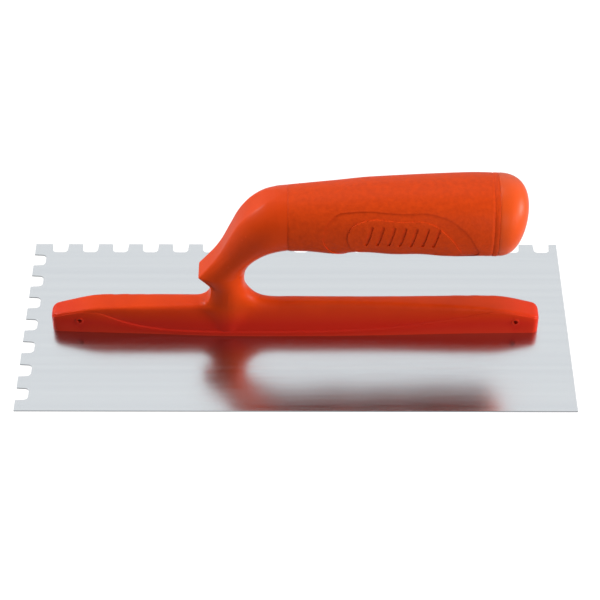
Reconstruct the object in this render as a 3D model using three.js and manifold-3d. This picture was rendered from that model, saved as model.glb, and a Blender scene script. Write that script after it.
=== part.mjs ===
// Notched trowel: a thin steel blade with square notches along one long and one short edge, and an
// open plastic handle held to the blade by a riveted steel rail.
// Millimetres. +X runs along the blade towards its plain short edge, +Y towards its notched long edge,
// +Z up. The origin is at the centre of the blade's underside.
import * as THREE from "three";
import { mergeVertices } from "three/addons/utils/BufferGeometryUtils.js";
import Module from "manifold-3d";

const wasm = await Module();
wasm.setup();

// Driving dimensions. Heights are measured up from the blade's top face unless a comment says otherwise.
const gap = 0.3; // left between two pieces where one is fitted into the other
const blade = { length: 280, width: 120, thickness: 0.7 };
const notch = { depth: 6.3, cornerRadius: 2.2, flare: 0.25 };
const longEdge = { notches: 17, pitch: 16.15, firstTooth: 9.2, notchWidth: 8.2 };
const shortEdge = { notches: 7, pitch: 16.08, firstTooth: 8.5, notchWidth: 7.8 };

const rail = { start: -117, end: 117.5, width: 7, height: 10.2, wall: 1.2 };
const rivet = {
  count: 8,
  pitch: 28,
  shankRadius: 1.4,
  headRadius: 2,
  headHeight: 0.9,
  footRadius: 2.1,
  footHeight: 0.5,
  footRecess: 0.05, // keeps the foot just inside the blade's underside
};
const pin = { places: [-111, 112.4], height: 8, radius: 0.95, recess: 1.2 };

const spine = {
  start: -125.4,
  end: 124.6,
  cornerRadius: 3,
  wall: 1.5,
  endWall: 6.5,
  ledge: 0.55,
  flankSteps: 5,
  topRounding: 2.4, // the least height of the curve between a side facet and the top
};
const grip = {
  sleeveStart: -4.3, // where the neck's full section steps down to the core under the sleeve
  sleeveEnd: 98.3,
  end: 113.5,
  sleeveWall: 2,
  boreStart: 14,
  boreRadius: 11,
  heightRatio: 1.042, // half height and half width of the section, as shares of its mean radius
  widthRatio: 0.956,
};
const cap = { plugLength: 13, wall: 2.2, hollowShare: 0.5, riseOfTip: 5, fullness: 2.5 };

// A smooth function through a few [x, value] points, flat beyond the first and the last.
function through(points) {
  const slopes = points.map((point, i) => {
    const before = points[Math.max(i - 1, 0)];
    const after = points[Math.min(i + 1, points.length - 1)];
    return (after[1] - before[1]) / (after[0] - before[0]);
  });
  return (x) => {
    if (x <= points[0][0]) return points[0][1];
    if (x >= points.at(-1)[0]) return points.at(-1)[1];
    const i = points.findIndex((point) => point[0] > x) - 1;
    const span = points[i + 1][0] - points[i][0];
    const t = (x - points[i][0]) / span;
    const rise = points[i + 1][1] - points[i][1];
    const early = slopes[i] * span - rise;
    const late = rise - slopes[i + 1] * span;
    return points[i][1] + rise * t + t * (1 - t) * ((1 - t) * early + t * late);
  };
}

// How the spine's section changes along X.
const spineHalfWidth = through([[-125, 5], [-101, 6.1], [-70, 7.2], [-42, 8.4], [0, 8.6], [43, 7.9],
  [84, 6.6], [125, 5.9]]);
const spineHeight = through([[-125, 10.9], [-111, 14.4], [-101, 16.2], [-55, 17.4], [10, 18],
  [64, 16.9], [104, 15], [125, 10.3]]);
const spineTopHalfWidth = through([[-125, 5], [-86, 5.5], [-55, 4.7], [0, 2.5], [43, 2.8], [84, 4.6],
  [125, 5.7]]);
const spineFacetHeight = through([[-101, 13.8], [-86, 6.8], [-70, 3.2], [-55, 2.4], [0, 2.7], [43, 4.5],
  [84, 10.8], [100, 14.4]]);
const spineFlankPower = through([[-90, 1], [-30, 1.5], [60, 1.5], [95, 1]]); // 1 round, 2 straight

// How the grip's section changes along X: the height of its centre, its mean radius, and the depth
// of the shallow finger waves along its underside.
const gripCentre = through([[-4.3, 75], [20, 75.7], [37, 77], [98.3, 77.4]]);
const gripRadius = through([[-4.3, 16.2], [20, 18], [37, 18.7], [84, 20.6], [98.3, 20.4]]);
const fingerWave = { length: 27.5, depth: 0.5, firstCrest: 20 };

// The neck, from inside the spine up to where the sleeve starts. Each line is one slanting section:
// its front point, its rear point, its half width and the half width of the flat along its front.
const neckSections = [
  { front: [-46.5, 3], rear: [-15, 3], halfWidth: 8.3, flat: 4.6 },
  { front: [-47.5, 12], rear: [-13, 12], halfWidth: 8.2, flat: 4.4 },
  { front: [-49, 17.7], rear: [-10.5, 17.7], halfWidth: 8.1, flat: 4.2 },
  { front: [-45.6, 19.6], rear: [-17, 19.4], halfWidth: 8.2, flat: 4.4 },
  { front: [-43.8, 22.2], rear: [-21.4, 21.8], halfWidth: 8.4, flat: 4.6 },
  { front: [-42.9, 26.3], rear: [-24.6, 25.6], halfWidth: 8.6, flat: 4.9 },
  { front: [-42.9, 31.3], rear: [-26, 31.2], halfWidth: 8.8, flat: 5.2 },
  { front: [-45.2, 34.8], rear: [-26, 36], halfWidth: 9.1, flat: 5.6 },
  { front: [-48.8, 38.8], rear: [-25.3, 40.2], halfWidth: 9.5, flat: 5.8 },
  { front: [-44.8, 44], rear: [-23.7, 44.2], halfWidth: 9.9, flat: 5.5 },
  { front: [-40.4, 50], rear: [-21.4, 48.2], halfWidth: 10.6, flat: 5.2 },
  { front: [-36.6, 56.6], rear: [-18.6, 51.6], halfWidth: 11.5, flat: 5.1 },
  { front: [-32.8, 65], rear: [-15.6, 54.1], halfWidth: 12.7, flat: 5.3 },
  { front: [-28.2, 74.6], rear: [-12.4, 56], halfWidth: 14, flat: 6 },
  { front: [-22.7, 82], rear: [-9.6, 57.1], halfWidth: 15, flat: 6.4 },
  { front: [-16.2, 87.5], rear: [-7.3, 57.7], halfWidth: 15.5, flat: 5.4 },
  { front: [-9.7, 90.4], rear: [-5.6, 57.9], halfWidth: 15.6, flat: 3.4 },
];

// Materials.
function plastic(name, color, roughness) {
  return new THREE.MeshStandardMaterial({ name, color, roughness, metalness: 0 });
}
function steel(name, color, roughness) {
  return new THREE.MeshStandardMaterial({ name, color, roughness, metalness: 1 });
}

// A mesh over rings of points, each ring with the same number of points, running anticlockwise about
// the way the rings advance. The first and last rings are closed by fans about their middles, or joined
// to each other when the rings go round a hollow.
function loft(rings, goesRound = false) {
  const count = rings[0].length;
  const positions = rings.flat().flatMap((point) => [point.x, point.y, point.z]);
  const faces = [];
  const strips = goesRound ? rings.length : rings.length - 1;
  for (let i = 0; i < strips; i++) {
    const next = (i + 1) % rings.length;
    for (let j = 0; j < count; j++) {
      const k = (j + 1) % count;
      faces.push(i * count + j, i * count + k, next * count + k);
      faces.push(i * count + j, next * count + k, next * count + j);
    }
  }
  if (!goesRound) {
    addFan(positions, faces, rings[0], 0, false);
    addFan(positions, faces, rings.at(-1), (rings.length - 1) * count, true);
  }
  const geometry = new THREE.BufferGeometry();
  geometry.setAttribute("position", new THREE.Float32BufferAttribute(positions, 3));
  geometry.setIndex(faces);
  return geometry;
}

function addFan(positions, faces, ring, first, isLast) {
  const middle = new THREE.Vector3();
  ring.forEach((point) => middle.addScaledVector(point, 1 / ring.length));
  const centre = positions.length / 3;
  positions.push(middle.x, middle.y, middle.z);
  for (let j = 0; j < ring.length; j++) {
    const k = (j + 1) % ring.length;
    if (isLast) faces.push(first + j, first + k, centre);
    else faces.push(first + k, first + j, centre);
  }
}

// Between three.js geometry and a solid that can be cut or joined.
function solidOf(geometry) {
  const bare = new THREE.BufferGeometry();
  bare.setAttribute("position", geometry.getAttribute("position"));
  bare.setIndex(geometry.index);
  const merged = mergeVertices(bare, 1e-4);
  return new wasm.Manifold(
    new wasm.Mesh({
      numProp: 3,
      vertProperties: merged.getAttribute("position").array,
      triVerts: new Uint32Array(merged.index.array),
    }),
  );
}

function geometryOf(solid) {
  const { vertProperties, triVerts } = solid.getMesh();
  const geometry = new THREE.BufferGeometry();
  geometry.setAttribute("position", new THREE.BufferAttribute(vertProperties, 3));
  geometry.setIndex(new THREE.BufferAttribute(triVerts, 1));
  return geometry;
}

function named(name, geometry, material) {
  const mesh = new THREE.Mesh(geometry, material);
  mesh.name = name;
  return mesh;
}

// A turned shape about Z from [radius, height] points.
function latheUp(profile) {
  const shape = new THREE.LatheGeometry(profile.map(([r, z]) => new THREE.Vector2(r, z)), 16);
  return shape.rotateX(Math.PI / 2);
}

// A round bar along Y, and a round bar along X.
function barAlongY(radius, length, x, height) {
  return new THREE.CylinderGeometry(radius, radius, length, 20).translate(x, 0, height);
}
function barAlongX(radius, start, end, height) {
  const bar = new THREE.CylinderGeometry(radius, radius, end - start, 28);
  return bar.rotateZ(-Math.PI / 2).translate((start + end) / 2, 0, height);
}

// Blade.
const rivetPlaces = Array.from({ length: rivet.count }, (_, i) => (i - (rivet.count - 1) / 2) * rivet.pitch);

// Adds one notch to the outline: along is the way the outline runs, inward points into the sheet.
function addNotch(outline, corner, along, inward, width) {
  const at = (a, b) => corner.clone().addScaledVector(along, a).addScaledVector(inward, b);
  const { depth, cornerRadius: r, flare } = notch;
  const points = [
    at(-flare, 0),
    at(0, depth - r),
    at(0, depth),
    at(r, depth),
    at(width - r, depth),
    at(width, depth),
    at(width, depth - r),
    at(width + flare, 0),
  ];
  outline.lineTo(points[0].x, points[0].y);
  outline.lineTo(points[1].x, points[1].y);
  outline.quadraticCurveTo(points[2].x, points[2].y, points[3].x, points[3].y);
  outline.lineTo(points[4].x, points[4].y);
  outline.quadraticCurveTo(points[5].x, points[5].y, points[6].x, points[6].y);
  outline.lineTo(points[7].x, points[7].y);
}

function bladeOutline() {
  const x = blade.length / 2;
  const y = blade.width / 2;
  const outline = new THREE.Shape();
  outline.moveTo(-x, -y);
  outline.lineTo(x, -y);
  outline.lineTo(x, y);
  for (let i = longEdge.notches - 1; i >= 0; i--) {
    const start = -x + longEdge.firstTooth + i * longEdge.pitch + longEdge.notchWidth;
    const corner = new THREE.Vector2(start, y);
    addNotch(outline, corner, new THREE.Vector2(-1, 0), new THREE.Vector2(0, -1), longEdge.notchWidth);
  }
  outline.lineTo(-x, y);
  for (let i = 0; i < shortEdge.notches; i++) {
    const corner = new THREE.Vector2(-x, y - shortEdge.firstTooth - i * shortEdge.pitch);
    addNotch(outline, corner, new THREE.Vector2(0, -1), new THREE.Vector2(1, 0), shortEdge.notchWidth);
  }
  return outline;
}

// A rivet hole through the blade, countersunk from below.
function countersink(x) {
  const clear = rivet.shankRadius + gap;
  const mouth = rivet.footRadius + gap;
  const above = blade.thickness + 1;
  const profile = [[0, -1], [mouth, -1], [mouth, 0], [clear, rivet.footHeight], [clear, above], [0, above]];
  return latheUp(profile).translate(x, 0, 0);
}

function makeBlade() {
  const sheet = new THREE.ExtrudeGeometry(bladeOutline(), {
    depth: blade.thickness,
    bevelEnabled: false,
    curveSegments: 4,
  });
  let solid = solidOf(sheet);
  rivetPlaces.forEach((x) => {
    solid = solid.subtract(solidOf(countersink(x)));
  });
  return named("blade", geometryOf(solid), steel("stainless_steel", 0xd8dcde, 0.25));
}

// Steel rail: a channel, open upwards, under the whole length of the spine.
function makeRail() {
  const half = rail.width / 2;
  const inner = half - rail.wall;
  const section = new THREE.Shape();
  section.moveTo(-half, 0);
  section.lineTo(half, 0);
  section.lineTo(half, rail.height);
  section.lineTo(inner, rail.height);
  section.lineTo(inner, rail.wall);
  section.lineTo(-inner, rail.wall);
  section.lineTo(-inner, rail.height);
  section.lineTo(-half, rail.height);
  const channel = new THREE.ExtrudeGeometry(section, { depth: rail.end - rail.start, bevelEnabled: false });
  channel.rotateX(Math.PI / 2).rotateZ(Math.PI / 2).translate(rail.start, 0, 0);
  let solid = solidOf(channel);
  const radius = rivet.shankRadius + gap;
  rivetPlaces.forEach((x) => {
    const hole = latheUp([[0, -1], [radius, -1], [radius, rail.wall + 1], [0, rail.wall + 1]]);
    solid = solid.subtract(solidOf(hole.translate(x, 0, 0)));
  });
  pin.places.forEach((x) => {
    solid = solid.subtract(solidOf(barAlongY(pin.radius + gap, rail.width + 2, x, pin.height)));
  });
  return named("mounting_rail", geometryOf(solid), steel("rail_steel", 0x9aa0a4, 0.45));
}

// Rivets: a domed head on the rail's floor, and a foot flush with the blade's underside.
function makeRivet(index) {
  const floor = rail.wall;
  const foot = rivet.footRecess - blade.thickness;
  const { shankRadius, headRadius, headHeight, footRadius, footHeight } = rivet;
  const profile = [
    [0, foot],
    [footRadius, foot],
    [shankRadius, foot + footHeight],
    [shankRadius, floor],
    [headRadius, floor],
    [headRadius * 0.92, floor + headHeight * 0.5],
    [headRadius * 0.55, floor + headHeight * 0.9],
    [0, floor + headHeight],
  ];
  const mesh = named(`rivet_${index + 1}`, latheUp(profile), steel("rivet_steel", 0xb9bdc0, 0.35));
  mesh.position.x = rivetPlaces[index];
  return mesh;
}

// Cross pins: through the spine's sides and the rail, their ends sunk below the spine's surface.
function makePin(name, x) {
  const length = 2 * (spineHalfWidth(x) - pin.recess);
  return named(name, barAlongY(pin.radius, length, x, pin.height), steel("pin_steel", 0x55585a, 0.5));
}

// Spine.
// How far the plan corners cut in at a distance from the spine's end.
function cornerInset(x) {
  const r = spine.cornerRadius;
  const distance = Math.min(x - spine.start, spine.end - x);
  if (distance >= r) return 0;
  return r - Math.sqrt(r * r - (r - distance) ** 2);
}

// The section at x: upright side facets, a small ledge, and a curve in to the flat top.
function spineRing(x) {
  const inset = cornerInset(x);
  const top = spineHeight(x) - inset * 0.5;
  const facet = Math.min(spineFacetHeight(x), top - spine.topRounding);
  const outer = spineHalfWidth(x) - inset;
  const body = outer - spine.ledge;
  const topHalf = Math.min(spineTopHalfWidth(x) - inset, body - 0.4);
  const power = spineFlankPower(x);
  const side = [[outer, 0], [outer, facet], [body, facet + spine.ledge]];
  for (let i = 1; i <= spine.flankSteps; i++) {
    const angle = (i / spine.flankSteps) * (Math.PI / 2);
    const reach = topHalf + (body - topHalf) * Math.cos(angle) ** power;
    side.push([reach, facet + spine.ledge + (top - facet - spine.ledge) * Math.sin(angle) ** power]);
  }
  const otherSide = side.map(([y, z]) => [-y, z]).reverse();
  return [...side, ...otherSide].map(([y, z]) => new THREE.Vector3(x, y, z));
}

function stationsBetween(start, end, steps) {
  return Array.from({ length: steps + 1 }, (_, i) => start + ((end - start) * i) / steps);
}

function spineBody() {
  const r = spine.cornerRadius;
  const turns = [0, 30, 60].map((degrees) => r * (1 - Math.cos(THREE.MathUtils.degToRad(degrees))));
  const stations = [
    ...turns.map((distance) => spine.start + distance),
    ...stationsBetween(spine.start + r, spine.end - r, 30),
    ...turns.map((distance) => spine.end - distance).reverse(),
  ];
  return loft(stations.map(spineRing));
}

// The hollow under the spine, which the rail stands in. It narrows with the spine's flanks, and clears
// the rail's flanges.
function spineHollow() {
  const stations = stationsBetween(spine.start + spine.endWall, spine.end - spine.endWall, 10);
  const rings = stations.map((x) => {
    const top = spineHeight(x) - spine.wall;
    const half = spineHalfWidth(x) - spine.wall;
    const shoulderHalf = Math.min(half, rail.width / 2 + 2 * gap);
    const topHalf = Math.min(shoulderHalf, spineTopHalfWidth(x) - spine.ledge);
    const facet = Math.min(spineFacetHeight(x), rail.height / 2);
    const side = [[half, -1], [half, facet], [shoulderHalf, rail.height + gap / 2], [topHalf, top]];
    const otherSide = side.map(([y, z]) => [-y, z]).reverse();
    return [...side, ...otherSide].map(([y, z]) => new THREE.Vector3(x, y, z));
  });
  return loft(rings);
}

// A rounded section between a front and a rear point in the XZ plane, with a flat of the given half
// width at the front. inset moves the whole outline inwards.
function gripRing(front, rear, halfWidth, flat, inset = 0) {
  const middle = [(front[0] + rear[0]) / 2, (front[1] + rear[1]) / 2];
  const reach = Math.hypot(front[0] - rear[0], front[1] - rear[1]) / 2;
  const forward = [(front[0] - middle[0]) / reach, (front[1] - middle[1]) / reach];
  const width = halfWidth - inset;
  const length = reach - inset;
  const flatAngle = Math.asin(Math.min(flat / width, 0.95));
  const side = [];
  for (let i = 0; i <= 6; i++) {
    const angle = flatAngle + (Math.PI / 2 - flatAngle) * (i / 6);
    side.push([width * Math.sin(angle), (length * Math.cos(angle)) / Math.cos(flatAngle)]);
  }
  for (let i = 1; i <= 6; i++) {
    const angle = (Math.PI / 2) * (1 + i / 7);
    side.push([width * Math.sin(angle), length * Math.cos(angle)]);
  }
  const otherSide = side.map(([y, along]) => [-y, along]);
  const outline = [...side.reverse(), ...otherSide, [0, -length]];
  return outline.map(
    ([y, along]) =>
      new THREE.Vector3(middle[0] + forward[0] * along, y, middle[1] + forward[1] * along),
  );
}

// The grip's upright section at x.
function uprightRing(x, inset) {
  const radius = gripRadius(x);
  const flat = radius * 0.1;
  const wave = fingerWave.depth * Math.cos((2 * Math.PI * (x - fingerWave.firstCrest)) / fingerWave.length);
  const top = gripCentre(x) + radius * grip.heightRatio;
  const bottom = gripCentre(x) - radius * grip.heightRatio - wave;
  return gripRing([x, top], [x, bottom], radius * grip.widthRatio, flat, inset);
}

function neckAndCore() {
  const neck = neckSections.map(({ front, rear, halfWidth, flat }) => gripRing(front, rear, halfWidth, flat));
  const coreInset = grip.sleeveWall + gap;
  const coreStations = stationsBetween(grip.sleeveStart, grip.sleeveEnd, 8);
  const core = coreStations.map((x) => uprightRing(x, coreInset));
  return loft([...neck, uprightRing(grip.sleeveStart, 0), ...core]);
}

function makeHandle() {
  let solid = solidOf(spineBody()).add(solidOf(neckAndCore()));
  solid = solid.subtract(solidOf(spineHollow()));
  const bore = barAlongX(grip.boreRadius, grip.boreStart, grip.sleeveEnd + 1, gripCentre(grip.sleeveEnd));
  solid = solid.subtract(solidOf(bore));
  pin.places.forEach((x) => {
    solid = solid.subtract(solidOf(barAlongY(pin.radius + gap, blade.width, x, pin.height)));
  });
  return named("handle", geometryOf(solid), plastic("orange_plastic", 0xd2491f, 0.42));
}

// Soft sleeve: a textured tube round the grip's core.
function makeSleeve() {
  const stations = stationsBetween(grip.sleeveStart + gap, grip.sleeveEnd, 14);
  const outside = stations.map((x) => uprightRing(x, 0));
  const inside = stations.map((x) => uprightRing(x, grip.sleeveWall)).reverse();
  return named("grip_sleeve", loft([...outside, ...inside], true), plastic("orange_rubber", 0xc23c1e, 0.7));
}

// End cap: a dome whose tip sits above the grip's centre line, with a hollow plug in the core's bore.
function capRing(x) {
  const start = grip.sleeveEnd + gap;
  const t = (x - start) / (grip.end - start);
  const radius = gripRadius(start) * Math.sqrt(1 - t ** cap.fullness);
  const centre = gripCentre(start) + cap.riseOfTip * t ** 3;
  const top = centre + radius * grip.heightRatio;
  const bottom = centre - radius * grip.heightRatio;
  return gripRing([x, top], [x, bottom], radius * grip.widthRatio, radius * 0.1);
}

function makeCap() {
  const start = grip.sleeveEnd + gap;
  const shares = [0, 0.2, 0.38, 0.54, 0.68, 0.79, 0.88, 0.94, 0.98, 0.996];
  const dome = loft(shares.map((share) => capRing(start + share * (grip.end - start))));
  const height = gripCentre(grip.sleeveEnd);
  const plug = barAlongX(grip.boreRadius - gap, start - cap.plugLength, start + 1, height);
  const hollow = barAlongX(
    grip.boreRadius - gap - cap.wall,
    start - cap.plugLength - 1,
    start + (grip.end - start) * cap.hollowShare,
    height,
  );
  const solid = solidOf(dome).add(solidOf(plug)).subtract(solidOf(hollow));
  return named("grip_end_cap", geometryOf(solid), plastic("orange_gloss", 0xe8501c, 0.3));
}

// Everything above the blade stands on its top face.
const handleGroup = new THREE.Group();
handleGroup.position.z = blade.thickness;
handleGroup.add(makeRail());
rivetPlaces.forEach((_, index) => handleGroup.add(makeRivet(index)));
handleGroup.add(makePin("cross_pin_front", pin.places[0]));
handleGroup.add(makePin("cross_pin_rear", pin.places[1]));
handleGroup.add(makeHandle());
handleGroup.add(makeSleeve());
handleGroup.add(makeCap());

const trowel = new THREE.Group();
trowel.add(makeBlade());
trowel.add(handleGroup);

export default trowel;
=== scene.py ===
import bpy
import bmesh
import math
from mathutils import Matrix, Vector


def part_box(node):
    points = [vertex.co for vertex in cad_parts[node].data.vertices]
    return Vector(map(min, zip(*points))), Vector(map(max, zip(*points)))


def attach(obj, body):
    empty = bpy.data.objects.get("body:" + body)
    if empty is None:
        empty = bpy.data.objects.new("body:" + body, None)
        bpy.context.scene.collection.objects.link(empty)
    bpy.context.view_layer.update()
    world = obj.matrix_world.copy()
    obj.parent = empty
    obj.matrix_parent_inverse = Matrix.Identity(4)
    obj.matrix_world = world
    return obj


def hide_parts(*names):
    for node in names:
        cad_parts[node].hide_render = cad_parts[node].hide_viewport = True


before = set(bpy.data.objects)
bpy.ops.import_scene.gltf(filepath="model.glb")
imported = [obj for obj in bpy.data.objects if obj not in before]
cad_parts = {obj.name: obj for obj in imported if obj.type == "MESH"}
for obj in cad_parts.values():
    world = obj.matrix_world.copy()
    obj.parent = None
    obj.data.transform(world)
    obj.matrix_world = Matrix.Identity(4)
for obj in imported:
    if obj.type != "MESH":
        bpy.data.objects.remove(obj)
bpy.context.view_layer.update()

mm = 0.001
quarter = math.pi / 2
bladeLow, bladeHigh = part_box("blade")
bladeTop = bladeHigh.z / mm  # heights in the dictionaries start here
print("frame loaded")


def letGo():
    if bpy.context.mode != "OBJECT":
        bpy.ops.object.mode_set(mode="OBJECT")
    bpy.ops.object.select_all(action="DESELECT")


def takeUp(piece):
    letGo()
    piece.select_set(True)
    bpy.context.view_layer.objects.active = piece


def openUp(piece, kind="VERT"):
    takeUp(piece)
    bpy.ops.object.mode_set(mode="EDIT")
    bpy.ops.mesh.select_mode(type=kind)
    bpy.ops.mesh.select_all(action="DESELECT")


def newPiece(name):
    letGo()
    bpy.ops.object.add(type="MESH", location=(0, 0, 0))
    piece = bpy.context.object
    piece.name = name
    openUp(piece)
    return piece


def pick(piece, wanted):
    mesh = bmesh.from_edit_mesh(piece.data)
    for vert in mesh.verts:
        vert.select_set(wanted(vert.co / mm))
    mesh.select_flush_mode()
    bmesh.update_edit_mesh(piece.data)


def pickEdges(piece, wanted):
    mesh = bmesh.from_edit_mesh(piece.data)
    for edge in mesh.edges:
        edge.select_set(wanted(edge))
    bmesh.update_edit_mesh(piece.data)


def pickIndexed(piece, indices):
    mesh = bmesh.from_edit_mesh(piece.data)
    mesh.verts.ensure_lookup_table()
    for vert in mesh.verts:
        if vert.select:
            vert.select_set(False)
    for index in indices:
        mesh.verts[index].select_set(True)
    mesh.select_flush_mode()
    bmesh.update_edit_mesh(piece.data)


def move(x=0, y=0, z=0):
    bpy.ops.transform.translate(value=(x * mm, y * mm, z * mm))


def resize(x, y, z, centre=(0, 0, 0)):
    bpy.ops.transform.resize(value=(x, y, z), center_override=Vector(centre) * mm)


def turn(angle, axis, centre=(0, 0, 0)):
    # without a window this operator turns the other way
    bpy.ops.transform.rotate(value=-angle, orient_axis=axis, center_override=Vector(centre) * mm)


def shape(piece, kind, **values):
    takeUp(piece)
    change = piece.modifiers.new(kind.lower(), kind)
    for name, value in values.items():
        setattr(change, name, value)
    bpy.ops.object.modifier_apply(modifier=change.name)


def combine(piece, tool, how):
    shape(piece, "BOOLEAN", operation=how, object=tool, solver="MANIFOLD")
    bpy.data.objects.remove(tool)


def copyOf(piece, name):
    takeUp(piece)
    bpy.ops.object.duplicate()
    twin = bpy.context.object
    twin.name = name
    return twin


def settle(piece, angle=35):
    openUp(piece)
    bpy.ops.mesh.select_all(action="SELECT")
    bpy.ops.mesh.remove_doubles(threshold=0.004 * mm)
    bpy.ops.mesh.normals_make_consistent(inside=False)
    takeUp(piece)
    bpy.ops.object.transform_apply(location=True, rotation=True, scale=True)
    bpy.ops.object.shade_smooth_by_angle(angle=math.radians(angle))


def through(points):
    # a smooth line through (place, value) points, level beyond both ends
    def slope(i):
        (x0, y0), (x1, y1) = points[max(i - 1, 0)], points[min(i + 1, len(points) - 1)]
        return (y1 - y0) / (x1 - x0)

    def value(at):
        if at <= points[0][0]:
            return points[0][1]
        if at >= points[-1][0]:
            return points[-1][1]
        i = max(n for n in range(len(points) - 1) if points[n][0] <= at)
        run = points[i + 1][0] - points[i][0]
        rise = points[i + 1][1] - points[i][1]
        t = (at - points[i][0]) / run
        early = slope(i) * run - rise
        late = rise - slope(i + 1) * run
        return points[i][1] + rise * t + t * (1 - t) * ((1 - t) * early + t * late)

    return value


def spread(start, end, step):
    count = max(1, round((end - start) / step))
    return [start + (end - start) * n / count for n in range(count + 1)]


def closeSweep(piece):
    bpy.ops.mesh.select_all(action="SELECT")
    bpy.ops.mesh.bridge_edge_loops()
    bpy.ops.mesh.select_all(action="SELECT")
    bpy.ops.mesh.fill_holes(sides=0)
    bpy.ops.mesh.select_all(action="SELECT")
    bpy.ops.mesh.normals_make_consistent(inside=False)
    letGo()


def rowSweep(name, stations, rowsAt):
    # rings across X, each pulled row by row from a circle: rows are (half width, height), top first
    piece = newPiece(name)
    for x in stations:
        rows = rowsAt(x)
        corners = 2 * len(rows) + 2
        bpy.ops.mesh.primitive_circle_add(vertices=corners, radius=mm, rotation=(quarter, 0, quarter))
        move(x)
        first = len(bmesh.from_edit_mesh(piece.data).verts) - corners
        pickIndexed(piece, [first])
        move(z=rows[0][1] - 1)
        pickIndexed(piece, [first + corners // 2])
        move(z=rows[-1][1] + 1)
        for n, (halfWidth, height) in enumerate(rows, 1):
            angle = 2 * math.pi * n / corners
            pickIndexed(piece, [first + n, first + corners - n])
            resize(1, halfWidth / math.sin(angle), 1, (x, 0, 0))
            move(z=height - math.cos(angle))
    closeSweep(piece)
    return piece


def barAlong(name, axis, radius, start, end, centre, sides=64):
    # axis 0 or 1, centre gives the other two coordinates
    spot = [0, 0, 0]
    spot[axis] = (start + end) / 2
    others = [n for n in range(3) if n != axis]
    spot[others[0]], spot[others[1]] = centre
    turned = (0, quarter, 0) if axis == 0 else (quarter, 0, 0)
    letGo()
    bpy.ops.mesh.primitive_cylinder_add(
        vertices=sides, radius=radius * mm, depth=(end - start) * mm,
        location=Vector(spot) * mm, rotation=turned)
    bar = bpy.context.object
    bar.name = name
    bpy.ops.object.transform_apply(location=True, rotation=True, scale=True)
    return bar


def barAlongZ(name, radius, start, end, centre, sides):
    letGo()
    bpy.ops.mesh.primitive_cylinder_add(
        vertices=sides, radius=radius * mm, depth=(end - start) * mm,
        location=Vector((centre[0], centre[1], (start + end) / 2)) * mm)
    bar = bpy.context.object
    bar.name = name
    bpy.ops.object.transform_apply(location=True, rotation=True, scale=True)
    return bar


def block(name, low, high):
    letGo()
    low, high = Vector(low), Vector(high)
    bpy.ops.mesh.primitive_cube_add(size=1, location=(low + high) / 2 * mm)
    piece = bpy.context.object
    piece.name = name
    piece.scale = (high - low) * mm
    bpy.ops.object.transform_apply(location=True, rotation=True, scale=True)
    return piece


def outlinePrism(name, points, near, far):
    # a smooth closed outline in XZ, thickened along Y
    letGo()
    bpy.ops.curve.primitive_bezier_circle_add(radius=mm)
    line = bpy.context.object
    line.name = name
    line.data.dimensions = "2D"
    line.data.fill_mode = "BOTH"
    line.data.resolution_u = 10
    spline = line.data.splines[0]
    spline.bezier_points.add(len(points) - len(spline.bezier_points))
    for knot, (x, height) in zip(spline.bezier_points, points):
        knot.co = (x * mm, (bladeTop + height) * mm, 0)
        knot.handle_left_type = "AUTO"
        knot.handle_right_type = "AUTO"
    line.data.extrude = (far - near) / 2 * mm
    line.rotation_euler = (quarter, 0, 0)
    line.location = (0, (near + far) / 2 * mm, 0)
    takeUp(line)
    bpy.ops.object.convert(target="MESH")
    prism = bpy.context.object
    bpy.ops.object.transform_apply(location=True, rotation=True, scale=True)
    openUp(prism)
    bpy.ops.mesh.select_all(action="SELECT")
    bpy.ops.mesh.remove_doubles(threshold=0.001 * mm)
    bpy.ops.mesh.normals_make_consistent(inside=False)
    letGo()
    return prism


view = {
    "lens": 117.85,
    "place": (1.0, -708.44, 729.6),
    "down": 45.11,
    "aside": -0.084,
    "roll": 0.149,
}


def setCamera():
    letGo()
    bpy.ops.object.camera_add(location=Vector(view["place"]) * mm)
    camera = bpy.context.object
    camera.name = "camera"
    camera.data.lens = view["lens"]
    camera.data.sensor_width = 36
    camera.data.clip_end = 20
    aside = Matrix.Rotation(math.radians(view["aside"]), 3, "Z")
    tilt = Matrix.Rotation(math.radians(90 - view["down"]), 3, "X")
    roll = Matrix.Rotation(math.radians(view["roll"]), 3, "Z")
    camera.rotation_euler = (aside @ tilt @ roll).to_euler()
    bpy.context.scene.camera = camera


setCamera()


studio = {
    "skyBack": 1.31,
    "skyFront": 0.6,
    "skyAtHorizon": 0.4,
    "skyForShade": 0.17,
    "skyFade": (-0.75, 0.25),
    "skyRise": 0.4,
    "floorLift": 0.95,
    "floorInMirrors": 0.3,
    "floorSize": 6,
    "floorDrop": 0.02,
    "floorGrey": 0.17,
    "aimAt": (0, 0, 0.03),
    "lamps": [
        # name, place, size, watts, mirrored in glossy surfaces
        ("overheadSoftbox", (0.03, 0.22, 1.22), 0.62, 5.4, False),
        ("leftSoftbox", (-0.95, 0.3, 0.55), 0.8, 7.5, False),
        ("leftGlint", (-0.95, 0.3, 0.62), 0.36, 3.0, True),
        ("frontFill", (0.35, -1.15, 0.4), 0.7, 2.9, False),
        ("rightFill", (0.6, -0.42, 0.17), 0.3, 2.2, False),
        ("rightSoftbox", (1.25, -0.06, 0.16), 0.8, 9.6, False),
        ("rightGlint", (1.25, -0.06, 0.16), 0.36, 4.4, True),
    ],
}


def aimAt(lamp, target):
    lamp.rotation_euler = (Vector(target) - lamp.location).to_track_quat("-Z", "Y").to_euler()


def setLamps():
    for name, place, size, watts, mirrored in studio["lamps"]:
        letGo()
        bpy.ops.object.light_add(type="AREA", location=place)
        lamp = bpy.context.object
        lamp.name = name
        lamp.data.shape = "DISK"
        lamp.data.size = size
        lamp.data.energy = watts
        lamp.visible_glossy = mirrored
        lamp.visible_camera = False
        aimAt(lamp, studio["aimAt"])


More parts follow.
